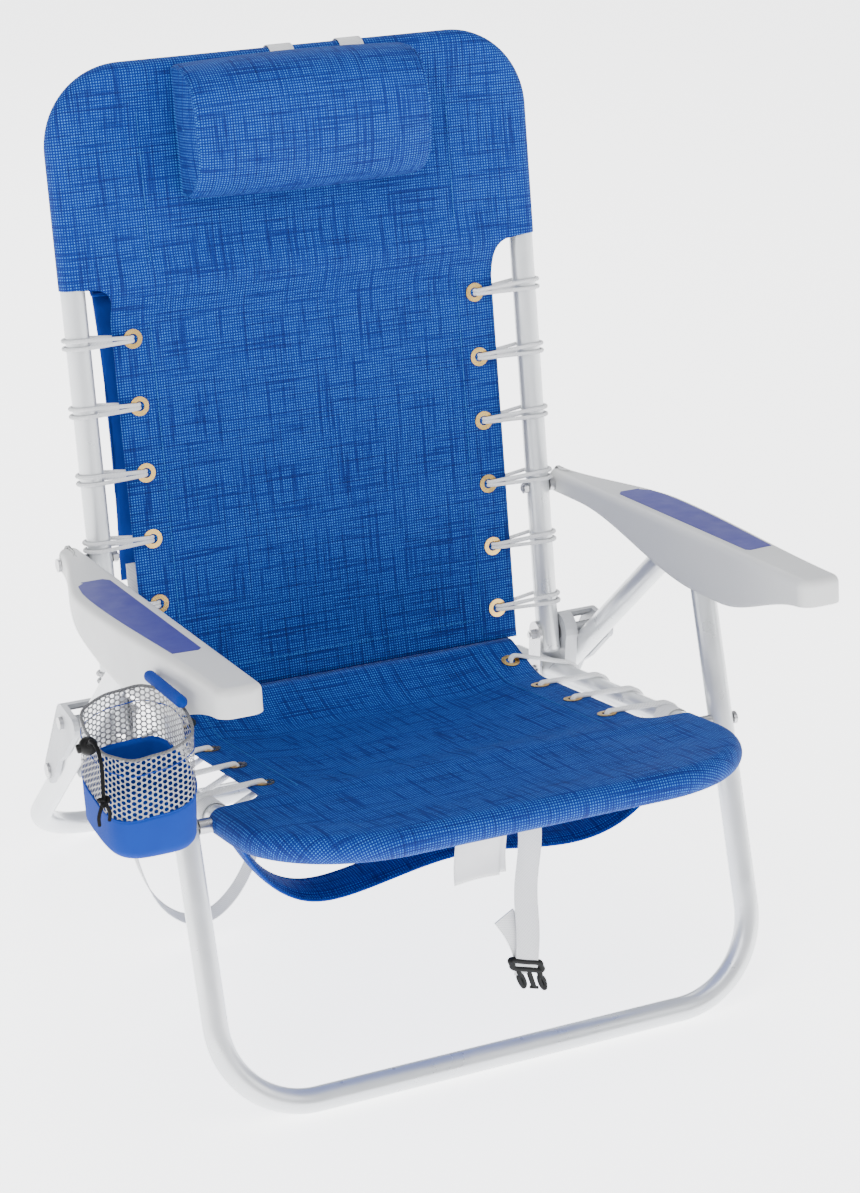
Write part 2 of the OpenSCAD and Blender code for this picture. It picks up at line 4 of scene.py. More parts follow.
import bmesh
import bpy
import numpy as np
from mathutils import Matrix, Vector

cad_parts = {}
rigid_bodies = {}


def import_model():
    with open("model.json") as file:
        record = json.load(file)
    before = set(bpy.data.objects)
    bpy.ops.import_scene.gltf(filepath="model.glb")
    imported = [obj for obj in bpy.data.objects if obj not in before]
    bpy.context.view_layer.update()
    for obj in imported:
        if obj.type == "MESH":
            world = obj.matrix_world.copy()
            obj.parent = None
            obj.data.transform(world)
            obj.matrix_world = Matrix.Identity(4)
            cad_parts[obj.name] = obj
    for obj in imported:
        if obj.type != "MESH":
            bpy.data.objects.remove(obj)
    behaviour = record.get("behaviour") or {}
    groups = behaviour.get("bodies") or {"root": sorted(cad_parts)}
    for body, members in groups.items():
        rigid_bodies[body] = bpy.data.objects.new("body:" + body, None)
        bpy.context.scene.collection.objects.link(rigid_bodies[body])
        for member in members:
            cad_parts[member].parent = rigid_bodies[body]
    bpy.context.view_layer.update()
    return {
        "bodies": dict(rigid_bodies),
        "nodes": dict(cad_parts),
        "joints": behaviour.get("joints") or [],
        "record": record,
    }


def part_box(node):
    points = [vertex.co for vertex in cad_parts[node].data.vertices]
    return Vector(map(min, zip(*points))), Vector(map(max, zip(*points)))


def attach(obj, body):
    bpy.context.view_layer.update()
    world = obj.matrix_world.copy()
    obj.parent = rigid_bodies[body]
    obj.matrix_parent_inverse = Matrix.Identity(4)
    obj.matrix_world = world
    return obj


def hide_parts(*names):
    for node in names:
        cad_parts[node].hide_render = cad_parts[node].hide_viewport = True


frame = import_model()
joints = {joint["name"]: joint for joint in frame["joints"]}
rad = math.radians

# places: the hinge's line and middle plane, then the planes of the back, seat and arms
hinge = np.array(joints["fold"]["pos_m"], float)
armBolt = np.array(joints["arm_fold_right"]["pos_m"], float)
backLean, seatRise, armRise = rad(10.5), rad(12), rad(7.5)
seatTube = {"side": 0.249, "bar": 0.492, "bend": 0.120, "height": 0.2084}
backTube = {"side": 0.249, "bar": 0.645, "bend": 0.070}
pipeRadius = 0.0125
xAxis = np.array([1.0, 0, 0])


def toWorld(origin, ey, ez, points):
    p = np.asarray(points, float)  # world = origin + x (1, 0, 0) + y ey + z ez
    return origin + p[..., 0:1] * xAxis + p[..., 1:2] * np.array(ey) + p[..., 2:3] * np.array(ez)


def onBack(points):
    s, c = math.sin(backLean), math.cos(backLean)  # y up the back, z towards the sitter
    return toWorld(hinge, [0, s, c], [0, -c, s], points)


def onSeat(points):
    s, c = math.sin(seatRise), math.cos(seatRise)  # y forward, z up out of the seat
    return toWorld(np.array([hinge[0], hinge[1], seatTube["height"]]), [0, -c, s], [0, s, c], points)


def onArm(points):
    s, c = math.sin(armRise), math.cos(armRise)  # y forward from the bolt, z up out of the arm
    return toWorld(np.array([hinge[0], armBolt[1], armBolt[2]]), [0, -c, s], [0, s, c], points)


def onFloor(points):
    return np.asarray(points, float) + np.array([hinge[0], hinge[1], 0])


# camera
camera = bpy.data.objects.new("camera", bpy.data.cameras.new("camera"))
bpy.context.scene.collection.objects.link(camera)
camera.location = onFloor([-1.070, -2.596, 1.547])
camera.rotation_euler = (rad(66.70), 0, rad(-24.39))
camera.data.sensor_fit = "VERTICAL"
camera.data.sensor_height = 36
camera.data.lens = 87.34
bpy.context.scene.camera = camera


# meshes
def makeMesh(name, verts, faces, material, body, uv=None, replaces=()):
    data = bpy.data.meshes.new(name)
    data.from_pydata([tuple(v) for v in np.asarray(verts, float)], [], [tuple(f) for f in faces])
    data.validate()
    data.polygons.foreach_set("use_smooth", [True] * len(data.polygons))
    if uv is not None:
        layer = data.uv_layers.new(name="UVMap")
        for loop in data.loops:
            layer.data[loop.index].uv = tuple(uv[loop.vertex_index])
    piece = bpy.data.objects.new(name, data)
    bpy.context.scene.collection.objects.link(piece)
    data.materials.append(material)
    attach(piece, body)
    if replaces:
        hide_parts(*replaces)
    return piece


def gridFaces(rows, columns, start=0, wrap=False, flip=False):
    across = columns if wrap else columns - 1
    faces = []
    for i in range(rows - 1):
        for j in range(across):
            k = (j + 1) % columns
            quad = [start + i * columns + j, start + i * columns + k,
                    start + (i + 1) * columns + k, start + (i + 1) * columns + j]
            faces.append(quad[::-1] if flip else quad)
    return faces


class Build:
    def __init__(self):
        self.verts, self.uvs, self.faces = [], [], []

    def grid(self, points, uvs=None, wrap=False, flip=False):
        rows, columns = points.shape[:2]
        start = len(self.verts)
        self.verts.extend(points.reshape(-1, 3))
        self.uvs.extend((points[..., :2] if uvs is None else uvs).reshape(-1, 2))
        self.faces.extend(gridFaces(rows, columns, start, wrap, flip))
        return start

    def fan(self, ring, centre, flip=False):
        n = len(ring)
        start = len(self.verts)
        self.verts.extend(list(ring) + [centre])
        self.uvs.extend([p[:2] for p in ring] + [centre[:2]])
        for j in range(n):
            face = [start + j, start + (j + 1) % n, start + n]
            self.faces.append(face[::-1] if flip else face)


def finishPiece(piece, weld=0.0002, thickness=0, even=True):
    if weld:
        mesh = bmesh.new()
        mesh.from_mesh(piece.data)
        bmesh.ops.remove_doubles(mesh, verts=mesh.verts, dist=weld)
        bmesh.ops.recalc_face_normals(mesh, faces=mesh.faces)
        mesh.to_mesh(piece.data)
        mesh.free()
    if thickness:
        wall = piece.modifiers.new("wall", "SOLIDIFY")
        wall.thickness = thickness
        wall.offset = -1
        wall.use_even_offset = even
    return piece


def smooth(t):
    t = np.clip(t, 0, 1)
    return t * t * (3 - 2 * t)


def coons(bottom, top, left, right):
    # a patch between four edges: blend of the two pairs less the corners' blend
    u = np.linspace(0, 1, len(bottom))[None, :, None]
    v = np.linspace(0, 1, len(left))[:, None, None]
    corners = ((1 - u) * (1 - v) * bottom[0] + u * (1 - v) * bottom[-1]
               + (1 - u) * v * top[0] + u * v * top[-1])
    return (1 - v) * bottom[None] + v * top[None] + (1 - u) * left[:, None] + u * right[:, None] - corners


def resample(path, n):
    path = np.asarray(path, float)
    steps = np.r_[0, np.cumsum(np.linalg.norm(np.diff(path, axis=0), axis=1))]
    at = np.linspace(0, steps[-1], n)
    return np.stack([np.interp(at, steps, path[:, k]) for k in range(path.shape[1])], axis=1)


def spline(points, n, closed=False):
    # Catmull-Rom through the points
    p = np.asarray(points, float)
    p = np.vstack([p[-1], p, p[0], p[1]]) if closed else np.vstack([2 * p[0] - p[1], p, 2 * p[-1] - p[-2]])
    spans = len(p) - 3
    out = []
    for t in np.linspace(0, spans, n, endpoint=not closed):
        i = min(int(t), spans - 1)
        f = t - i
        a, b, c, d = p[i:i + 4]
        out.append(0.5 * (2 * b + (c - a) * f + (2 * a - 5 * b + 4 * c - d) * f * f
                          + (3 * b - a - 3 * c + d) * f ** 3))
    return np.array(out)


def directions(path, closed=False):
    if closed:
        d = np.roll(path, -1, axis=0) - np.roll(path, 1, axis=0)
    else:
        d = np.gradient(path, axis=0)
    return d / np.linalg.norm(d, axis=1, keepdims=True)


def tube(path, radius, sides=12, closed=False):
    # rings that turn as little as possible from one to the next
    path = np.asarray(path, float)
    d = directions(path, closed)
    normal = np.cross(d[0], [0.3, 0.2, 1.0])
    rings = []
    for p, t in zip(path, d):
        normal = normal - np.dot(normal, t) * t
        normal /= np.linalg.norm(normal)
        other = np.cross(t, normal)
        a = np.linspace(0, 2 * math.pi, sides, endpoint=False)[:, None]
        rings.append(p + radius * (np.cos(a) * normal + np.sin(a) * other))
    return np.array(rings)


def tubeInto(build, path, radius, sides=12, closed=False):
    rings = tube(path, radius, sides, closed)
    n = len(rings)
    along = np.r_[0, np.cumsum(np.linalg.norm(np.diff(path, axis=0), axis=1))]
    turn = np.linspace(0, 1, sides, endpoint=False)
    uv = np.stack(np.meshgrid(turn * 2 * math.pi * radius, along), axis=2)
    start = build.grid(rings, uv, wrap=True)
    if closed:
        for j in range(sides):
            k = (j + 1) % sides
            build.faces.append([start + (n - 1) * sides + j, start + (n - 1) * sides + k, start + k,
                                start + j])
    else:
        build.fan(rings[0], path[0], flip=True)
        build.fan(rings[-1], path[-1])


def ribbonInto(build, path, widthAxis, width, thickness):
    # a flat band: its width runs along widthAxis and its flat side faces out of the curve
    path = np.asarray(path, float)
    d = directions(path)
    w = np.broadcast_to(np.asarray(widthAxis, float), path.shape)
    w = w - np.sum(w * d, axis=1, keepdims=True) * d
    w /= np.linalg.norm(w, axis=1, keepdims=True)
    n = np.cross(d, w)
    h, t = width / 2, thickness / 2
    section = [(-h, -t * .4), (-h * .97, -t), (0, -t), (h * .97, -t), (h, -t * .4),
               (h, t * .4), (h * .97, t), (0, t), (-h * .97, t), (-h, t * .4)]
    rings = np.stack([path + a * w + b * n for a, b in section], axis=1)
    along = np.r_[0, np.cumsum(np.linalg.norm(np.diff(path, axis=0), axis=1))]
    uv = np.stack([np.stack([np.full(len(path), a), along], axis=1) for a, b in section], axis=1)
    build.grid(rings, uv, wrap=True)
    build.fan(rings[0], path[0], flip=True)
    build.fan(rings[-1], path[-1])


# materials
class Val:
    def __init__(self, tree, socket):
        self.tree, self.socket = tree, socket

    def math(self, kind, other=None):
        node = self.tree.nodes.new("ShaderNodeMath")
        node.operation = kind
        for i, value in enumerate([self, other]):
            if isinstance(value, Val):
                self.tree.links.new(value.socket, node.inputs[i])
            elif value is not None:
                node.inputs[i].default_value = value
        return Val(self.tree, node.outputs[0])

    def __add__(self, other):
        return self.math("ADD", other)

    def __mul__(self, other):
        return self.math("MULTIPLY", other)


class Finish:
    def __init__(self, name, color, roughness, metallic=0.0, sheen=0.0, coat=0.0, shine=0.5):
        self.material = bpy.data.materials.new(name)
        self.material.use_nodes = True
        self.tree = self.material.node_tree
        self.shader = self.tree.nodes["Principled BSDF"]
        self.shader.inputs["Base Color"].default_value = (*color, 1)
        self.shader.inputs["Roughness"].default_value = roughness
        self.shader.inputs["Metallic"].default_value = metallic
        self.shader.inputs["Sheen Weight"].default_value = sheen
        self.shader.inputs["Coat Weight"].default_value = coat
        self.shader.inputs["Specular IOR Level"].default_value = shine
        self.places = self.tree.nodes.new("ShaderNodeTexCoord")

    def node(self, kind, inputs=None, output=0, **settings):
        node = self.tree.nodes.new(kind)
        for key, value in settings.items():
            setattr(node, key, value)
        for key, value in (inputs or {}).items():
            if isinstance(value, Val):
                self.tree.links.new(value.socket, node.inputs[key])
            else:
                node.inputs[key].default_value = value
        return Val(self.tree, node.outputs[output])

    def coords(self, kind, scale):
        place = Val(self.tree, self.places.outputs[kind])
        return self.node("ShaderNodeMapping", {"Vector": place, "Scale": scale})

    def noise(self, scale, kind="Object", stretch=(1, 1, 1), detail=3.0):
        return self.node("ShaderNodeTexNoise", {"Vector": self.coords(kind, stretch), "Scale": scale,
                                                "Detail": detail})

    def ramp(self, value, low, high, lowTo=0.0, highTo=1.0):
        return self.node("ShaderNodeMapRange", {"Value": value, "From Min": low, "From Max": high,
                                                "To Min": lowTo, "To Max": highTo})

    def mix(self, factor, a, b):
        node = self.tree.nodes.new("ShaderNodeMix")
        node.data_type = "RGBA"
        for key, value in ((0, factor), (6, a), (7, b)):
            if isinstance(value, Val):
                self.tree.links.new(value.socket, node.inputs[key])
            else:
                node.inputs[key].default_value = value if key == 0 else (*value, 1)
        return Val(self.tree, node.outputs[2])

    def split(self):
        node = self.tree.nodes.new("ShaderNodeSeparateXYZ")
        self.tree.links.new(self.places.outputs["UV"], node.inputs[0])
        return Val(self.tree, node.outputs[0]), Val(self.tree, node.outputs[1])

    def feed(self, name, value):
        self.tree.links.new(value.socket, self.shader.inputs[name])

    def bump(self, height, strength, distance):
        self.feed("Normal", self.node("ShaderNodeBump", {"Height": height, "Strength": strength,
                                                         "Distance": distance}))


def wave(v, pitch):
    return (v * (2 * math.pi / pitch)).math("SINE")


def clothFinish(name, deep, mid, light, pitch=0.0028):
    # one light dot for each crossing, dimmed along slubs that run with either thread
    cloth = Finish(name, mid, 0.85, shine=0.2)
    u, v = cloth.split()
    warp, weft = wave(u, pitch), wave(v, pitch)
    dot = cloth.ramp(warp, -0.2, 0.5) * cloth.ramp(weft, -0.2, 0.5)
    slubAcross = cloth.ramp(cloth.noise(40, "UV", (0.30, 9, 1)), 0.36, 0.47)
    slubAlong = cloth.ramp(cloth.noise(40, "UV", (9, 0.30, 1)), 0.36, 0.47)
    patch = cloth.ramp(cloth.noise(300, "UV"), 0.3, 0.7, 0.45, 1.0)
    base = cloth.mix(slubAcross * 0.5 + slubAlong * 0.5, deep, mid)
    cloth.feed("Base Color", cloth.mix(dot * patch * (slubAcross * slubAlong * 0.85 + 0.15), base, light))
    cloth.bump(warp * weft + slubAcross * 0.5, 0.35, 0.0004)
    return cloth.material


def plainCloth(name, color, shade, ribs=0.0012):
    cloth = Finish(name, color, 0.85, shine=0.2)
    u, v = cloth.split()
    thread = wave(u, ribs) * wave(v, ribs)
    mottled = cloth.ramp(cloth.noise(25), 0.3, 0.7)
    cloth.feed("Base Color", cloth.mix(cloth.ramp(thread, -1, 1) * 0.5 + mottled * 0.5, shade, color))
    cloth.bump(thread, 0.3, 0.0003)
    return cloth.material


def webbingFinish(name, color, shade, ribs=0.0014, shine=0.3):
    band = Finish(name, color, 0.75, shine=shine)
    u, v = band.split()
    rib = wave(v, ribs)
    twill = wave(u + v, 0.0035)
    band.feed("Base Color", band.mix(band.ramp(rib + twill * 0.5, -1.2, 1.2), shade, color))
    band.bump(rib + twill * 0.6, 0.5, 0.0004)
    return band.material


def paintFinish(name, color, worn, roughness, metallic=0.0, grain=900, bump=0.05, coat=0.0, shine=0.5):
    paint = Finish(name, color, roughness, metallic, coat=coat, shine=shine)
    cloud = paint.noise(6)
    fine = paint.noise(grain, detail=2)
    paint.feed("Base Color", paint.mix(paint.ramp(cloud, 0.3, 0.75), color, worn))
    paint.feed("Roughness", paint.ramp(paint.noise(40), 0.3, 0.7, roughness - 0.06, roughness + 0.08))
    paint.bump(fine, bump, 0.0003)
    return paint.material


def meshFinish(name, color, pitch=0.0046):
    # hexagonal holes: three waves 120 degrees apart
    net = Finish(name, color, 0.55, 0.25, sheen=0.1)
    u, v = net.split()
    k = 2 * math.pi / pitch
    a = (u * k).math("COSINE")
    b = (u * (-0.5 * k) + v * (0.866 * k)).math("COSINE")
    c = (u * (-0.5 * k) + v * (-0.866 * k)).math("COSINE")
    field = a + b + c
    net.feed("Alpha", net.ramp(field, -0.30, -0.55))
    net.feed("Base Color", net.mix(net.ramp(net.noise(500), 0.3, 0.7), color, (0.36, 0.36, 0.37)))
    net.bump(field, 0.4, 0.0005)
    return net.material


blueDeep, blueMid, blueLight = (0.002, 0.008, 0.085), (0.001, 0.017, 0.175), (0.035, 0.24, 0.68)
slingCloth = clothFinish("sling_cloth", blueDeep, blueMid, blueLight)
blueCloth = plainCloth("blue_cloth", (0.001, 0.036, 0.29), (0.001, 0.024, 0.21))
whiteWeb = webbingFinish("white_webbing", (0.80, 0.80, 0.80), (0.55, 0.56, 0.58))
laceCord = webbingFinish("satin_lace", (0.86, 0.86, 0.86), (0.62, 0.63, 0.65), 0.0011)
blackCord = webbingFinish("black_cord", (0.004, 0.004, 0.005), (0.001, 0.001, 0.001), 0.0010, 0.12)
silverPaint = paintFinish("silver_paint", (0.62, 0.64, 0.65), (0.70, 0.71, 0.72), 0.32, 0.55, coat=0.3)
capPlastic = paintFinish("cap_plastic", (0.42, 0.43, 0.45), (0.36, 0.37, 0.39), 0.5)
zincPlate = paintFinish("zinc_plate", (0.55, 0.55, 0.56), (0.42, 0.42, 0.43), 0.28, 1.0, bump=0.12)
castMetal = paintFinish("cast_metal", (0.50, 0.51, 0.53), (0.42, 0.43, 0.45), 0.45, 0.3, 400, 0.15)
armPlastic = paintFinish("arm_plastic", (0.62, 0.625, 0.62), (0.57, 0.575, 0.575), 0.42, 0.0, 1500, 0.10)
inlayPlastic = paintFinish("inlay_plastic", (0.030, 0.030, 0.22), (0.040, 0.042, 0.25), 0.5, 0.0, 1100, 0.15)
rackPlastic = paintFinish("rack_plastic", (0.10, 0.10, 0.11), (0.07, 0.07, 0.08), 0.5)
blackPlastic = paintFinish("black_plastic", (0.003, 0.003, 0.003), (0.006, 0.006, 0.006), 0.4, shine=0.15)
brass = paintFinish("brass_plate", (0.75, 0.50, 0.17), (0.62, 0.40, 0.13), 0.22, 1.0, 300, 0.1)
netting = meshFinish("netting", (0.13, 0.13, 0.14))
netCord = webbingFinish("net_cord", (0.20, 0.20, 0.21), (0.06, 0.06, 0.06), 0.0009)
stitchThread = webbingFinish("stitch_thread", (0.03, 0.20, 0.55), (0.01, 0.10, 0.38), 0.0007)
labelTape = plainCloth("label_tape", (0.80, 0.80, 0.80), (0.66, 0.66, 0.67), 0.0007)

nodeFinish = {
    "frame": silverPaint, "caps": capPlastic, "plugs": capPlastic, "plate": zincPlate, "block": castMetal,
    "bolt": zincPlate, "bolts": zincPlate, "nut": zincPlate, "nuts": zincPlate, "washers": zincPlate,
    "rivets": zincPlate, "spacers": zincPlate, "pins": zincPlate, "inlay": inlayPlastic, "rack": rackPlastic,
    "grommets": brass}
for nodeName, node in frame["nodes"].items():
    words = nodeName.replace("_left", "").replace("_right", "").split("_")
    finish = nodeFinish.get(words[-1], whiteWeb)
    for slotAt in range(max(1, len(node.data.materials))):
        if node.data.materials:
            node.data.materials[slotAt] = finish
        else:
            node.data.materials.append(finish)
print("frame and finishes ready")

# drawstring of the drink holder, with its lock and knot
lockAt = np.array([-0.414, -0.436, 0.443])
lockDir = np.array([-2, -12, 9]) / np.linalg.norm([-2, -12, 9])
stringPoints = np.vstack([[lockAt + t * lockDir for t in (-0.014, -0.007, 0, 0.007, 0.014, 0.021)],
                          [[-0.4175, -0.4585, 0.458], [-0.416, -0.464, 0.457], [-0.415, -0.469, 0.452],
                           [-0.4145, -0.472, 0.445], [-0.414, -0.473, 0.437], [-0.414, -0.4735, 0.428],
                           [-0.414, -0.4735, 0.419], [-0.414, -0.4735, 0.410]]])
stringPath = onFloor(spline(stringPoints, 70))
build = Build()
tubeInto(build, stringPath, 0.0018, 12)
drawstring = finishPiece(makeMesh("drawstring_cord", build.verts, build.faces, blackCord, "drink_holder",
                                  build.uvs, ["drawstring"]), weld=0.00001)


def makeKnot():
    # a trefoil pulled small, with the two cut ends below it
    end = onFloor(stringPoints[-1])
    build = Build()
    t = np.linspace(0, 2 * math.pi, 60, endpoint=False)
    knot = np.stack([np.sin(t) + 1.6 * np.sin(2 * t), -1.0 * np.sin(3 * t),
                     np.cos(t) - 1.6 * np.cos(2 * t)], axis=1)
    tubeInto(build, end + knot * 0.0017 + [0, 0, -0.003], 0.0018, 10, closed=True)
    for side, drop in ((-1, 0.017), (1, 0.014)):
        tail = spline([[0, 0, -0.003], [side * 0.003, -0.001, -0.009], [side * 0.005, 0, -0.009 - drop * 0.5],
                       [side * 0.0045, 0.001, -0.009 - drop]], 14)
        tubeInto(build, end + tail, 0.0017, 10)
    return finishPiece(makeMesh("drawstring_knot", build.verts, build.faces, blackCord, "drink_holder",
                                build.uvs, ()), weld=0.00001)


knotPiece = makeKnot()
lockShape = {"radius": 0.0085, "bore": 0.0021, "button": 0.0042}


def makeCordLock():
    # a ball turned about the cord, open along its bore, with a push button on its side
    a = np.linspace(0, math.pi, 26)
    bore, r = lockShape["bore"], lockShape["radius"]
    profile = [(max(bore, r * math.sin(t)), r * math.cos(t)) for t in a]
    profile = [(bore, -profile[0][1])] + profile[::-1]
    turn = np.linspace(0, 2 * math.pi, 32, endpoint=False)
    side = np.cross(lockDir, [0, 0, 1.0])
    side /= np.linalg.norm(side)
    other = np.cross(lockDir, side)
    rings = np.array([[lockAt + z * lockDir + p * (math.cos(t) * side + math.sin(t) * other) for t in turn]
                      for p, z in profile])
    build = Build()
    build.grid(onFloor(rings), wrap=True)
    out = np.array([-0.6, -0.35, 0.2])
    out = out - np.dot(out, lockDir) * lockDir
    out /= np.linalg.norm(out)
    b = lockShape["button"]
    cap = [(b, r * 0.7), (b, r * 1.12), (b * 0.85, r * 1.22), (b * 0.4, r * 1.26), (0.0001, r * 1.27)]
    e = np.cross(out, lockDir)
    button = np.array([[lockAt + z * out + p * (math.cos(t) * lockDir + math.sin(t) * e) for t in turn]
                       for p, z in cap])
    build.grid(onFloor(button), wrap=True)
    return finishPiece(makeMesh("cord_lock_ball", build.verts, build.faces, blackPlastic, "cord_lock",
                                build.uvs, ["cord_lock"]), weld=0.00005)


lockPiece = makeCordLock()

# slings
sling = {"tubeRadius": 0.0138, "cloth": 0.0012, "backPanel": 0.212, "backSleeve": 0.440, "backLow": 0.0015,
         "seatPanel": 0.205, "seatSleeve": 0.318, "seatLow": -0.004}


def tubeOutline(side, low, bar, bend, straight=26, corner=10, top=30):
    # the tube's centreline as left, top and right edges of a patch, split half way round each corner
    def bow(sign, a0, a1):
        a = np.linspace(a0, a1, corner + 1)
        return np.stack([sign * (side - bend + bend * np.cos(a)), bar - bend + bend * np.sin(a)], axis=1)
    rise = np.stack([np.full(straight, side), np.linspace(low, bar - bend, straight, endpoint=False)], axis=1)
    right = np.vstack([rise, bow(1, 0, math.pi / 4)])
    left = right * [-1, 1]
    flat = np.stack([np.linspace(-(side - bend), side - bend, top), np.full(top, bar)], axis=1)
    over = np.vstack([bow(-1, math.pi / 4, math.pi / 2)[:-1], flat, bow(1, math.pi / 2, math.pi / 4)[1:]])
    return left, over, right


def wrinkle(x, y, seed, size):
    # a few slanting folds of different lengths, summed as waves
    rng = np.random.default_rng(seed)
    total = np.zeros_like(x)
    for i in range(7):
        a = rng.uniform(-0.5, 0.5) + (math.pi / 2 if i % 2 else 0)
        k = 2 * math.pi / rng.uniform(0.06, 0.18)
        total += np.sin(k * (x * np.cos(a) + y * np.sin(a)) + rng.uniform(0, 6)) / 7
    return size * total


def slingInto(build, side, low, bar, bend, sleeve, panel, height, ease, sag, seed):
    r = sling["tubeRadius"]
    left, over, right = tubeOutline(side, sleeve, bar, bend)
    bottom = np.stack([np.linspace(-side, side, len(over)), np.full(len(over), sleeve)], axis=1)
    patch = coons(bottom, over, left, right)
    # distance from the tube's centreline, which is round at the corners
    px, py = np.abs(patch[..., 0]) - (side - bend), patch[..., 1] - (bar - bend)
    reach = np.where((px > 0) & (py > 0), bend - np.hypot(px, py), bend - np.maximum(px, py))
    middle = smooth((reach - 0.010) / 0.045) * smooth((patch[..., 1] - sleeve) / 0.04)
    for face in (1, -1):  # the cloth before and behind the tubes
        z = face * (r - sag * middle) + wrinkle(patch[..., 0], patch[..., 1], seed + face, 0.0012) * middle
        build.grid(np.dstack([patch, z]), patch * [face, 1] + [0 if face > 0 else 0.9, 0], flip=face < 0)
    rim = np.vstack([left, over[1:-1], right[::-1]])
    d = directions(np.column_stack([rim, np.zeros(len(rim))]))
    normal = np.stack([-d[:, 1], d[:, 0]], axis=1)
    a = np.linspace(math.pi / 2, -math.pi / 2, 13)
    band = np.zeros((len(a), len(rim), 3))
    bandUv = np.zeros((len(a), len(rim), 2))
    for i, t in enumerate(a):
        band[i, :, :2] = rim + normal * r * math.cos(t)
        band[i, :, 2] = r * math.sin(t)
        bandUv[i] = rim + normal * r * (math.pi / 2 - t)
    build.grid(band, bandUv)
    # the laced panel widens into the sleeve through a fillet
    y = np.r_[np.linspace(low, sleeve - 0.03, 70, endpoint=False), np.linspace(sleeve - 0.03, sleeve, 12)]
    t = np.clip((y - (sleeve - 0.027)) / 0.027, 0, 1)
    half = panel + (side - panel) * (1 - (1 - t ** 3) ** (1 / 3))
    u = np.linspace(-1, 1, len(over))
    x = half[:, None] * u[None]
    yy = np.repeat(y[:, None], len(u), axis=1)
    z = np.repeat(height(y)[:, None], len(u), axis=1)
    free = smooth((0.85 - np.abs(u[None])) / 0.35) * smooth((yy - low) / 0.05) * smooth((sleeve - yy) / 0.06)
    z = z - ease * free + wrinkle(x, yy, seed + 5, 0.0012) * free
    build.grid(np.dstack([x, yy, z]), np.dstack([x, yy]))


def backHeight(y):
    return -0.0013 + (sling["tubeRadius"] + 0.0013) * smooth((y - 0.396) / (sling["backSleeve"] - 0.396))


def seatHeight(y):
    # a dip from the crease, steeper in its last 26 mm where the cloth meets the back's
    dip = 0.022 * (1 - smooth((y - 0.012) / 0.078)) * (1 - smooth((y - 0.012) / 0.160))
    return 0.0138 + dip + 0.0062 * (1 - smooth((y - 0.004) / 0.026))


def makeSling(name, place, body, nodes, shape):
    build = Build()
    slingInto(build, **shape)
    piece = makeMesh(name, place(np.array(build.verts)), build.faces, slingCloth, body, build.uvs, nodes)
    finishPiece(piece, weld=0.0003)
    finishPiece(piece, weld=0, thickness=sling["cloth"])
    return piece


makeSling("back_sling", onBack, "back", ["back_fabric"], dict(
    side=backTube["side"], low=sling["backLow"], bar=backTube["bar"], bend=backTube["bend"],
    sleeve=sling["backSleeve"], panel=sling["backPanel"], height=backHeight, ease=0.004, sag=0.004, seed=11))
makeSling("seat_sling", onSeat, "seat", ["seat_fabric"], dict(
    side=seatTube["side"], low=sling["seatLow"], bar=seatTube["bar"], bend=seatTube["bend"],
    sleeve=sling["seatSleeve"], panel=sling["seatPanel"], height=seatHeight, ease=0.006, sag=0.003, seed=31))


def makeStitches(name, place, body, lines, dash=0.0036, gap=0.0016, thick=0.0004):
    # dashes of thread that lie on the cloth along each line
    build = Build()
    for line in lines:
        line = np.asarray(line, float)
        steps = np.r_[0, np.cumsum(np.linalg.norm(np.diff(line, axis=0), axis=1))]
        for s in np.arange(0, steps[-1] - dash, dash + gap):
            at = np.linspace(s, s + dash, 4)
            path = np.stack([np.interp(at, steps, line[:, k]) for k in range(3)], axis=1)
            path[:, 2] += np.array([-0.3, 0.5, 0.5, -0.3]) * thick
            tubeInto(build, place(path), thick, 5)
    return finishPiece(makeMesh(name, build.verts, build.faces, stitchThread, body, build.uvs, ()),
                       weld=0)


def seamLine(x, y0, y1, height, lift=0.0006):
    y = np.linspace(y0, y1, 60)
    return np.stack([np.full(len(y), x), y, height(y) + lift], axis=1)


def sleeveHeight(sag):
    return lambda y: np.full(len(y), sling["tubeRadius"] - sag + 0.0003)


backSeams = [seamLine(s * 0.168, 0.445, 0.640, sleeveHeight(0.0035)) for s in (-1, 1)]
backSeams += [seamLine(s * (sling["backPanel"] - 0.041), 0.010, 0.400, backHeight, 0.0009) for s in (-1, 1)]
backSeams += [np.stack([np.linspace(-0.168, 0.168, 90), np.full(90, 0.028), np.full(90, 0.0004)], axis=1)]
makeStitches("back_stitches", onBack, "back", backSeams)
seatSeams = [seamLine(s * (sling["seatPanel"] - 0.041), 0.020, 0.300, seatHeight, 0.0009) for s in (-1, 1)]
makeStitches("seat_stitches", onSeat, "seat", seatSeams)
print("slings ready")

# laces: a loop through each eyelet and round the tube
lace = {"radius": 0.0021, "backX": 0.191, "seatX": 0.186}


def laceLoop(hx, hz, y, hole, side):
    # straight runs between an arc in the eyelet and an arc round the tube, like a belt on two wheels;
    # the two turns of lace lie together in the eyelet and spread to either side on the tube
    outer = pipeRadius + lace["radius"] + 0.0002
    middle, tubeX = hx + hole, backTube["side"]
    tilt = math.atan2(-hz, tubeX - middle)
    spread = math.acos((hole - outer) / math.hypot(tubeX - middle, hz))
    a = np.linspace(tilt + spread, tilt + 2 * math.pi - spread, 14)
    b = np.linspace(tilt - spread, tilt + spread, 30)
    x = np.r_[middle + hole * np.cos(a), tubeX + outer * np.cos(b)]
    z = np.r_[hz + hole * np.sin(a), outer * np.sin(b)]
    away = smooth((x - hx - 0.008) / 0.050)
    along = y + 0.0027 * away + side * (0.0018 + 0.0022 * away)
    loop = np.stack([x, along, z], axis=1)
    return resample(np.vstack([loop, loop[:1]]), 88)[:-1]


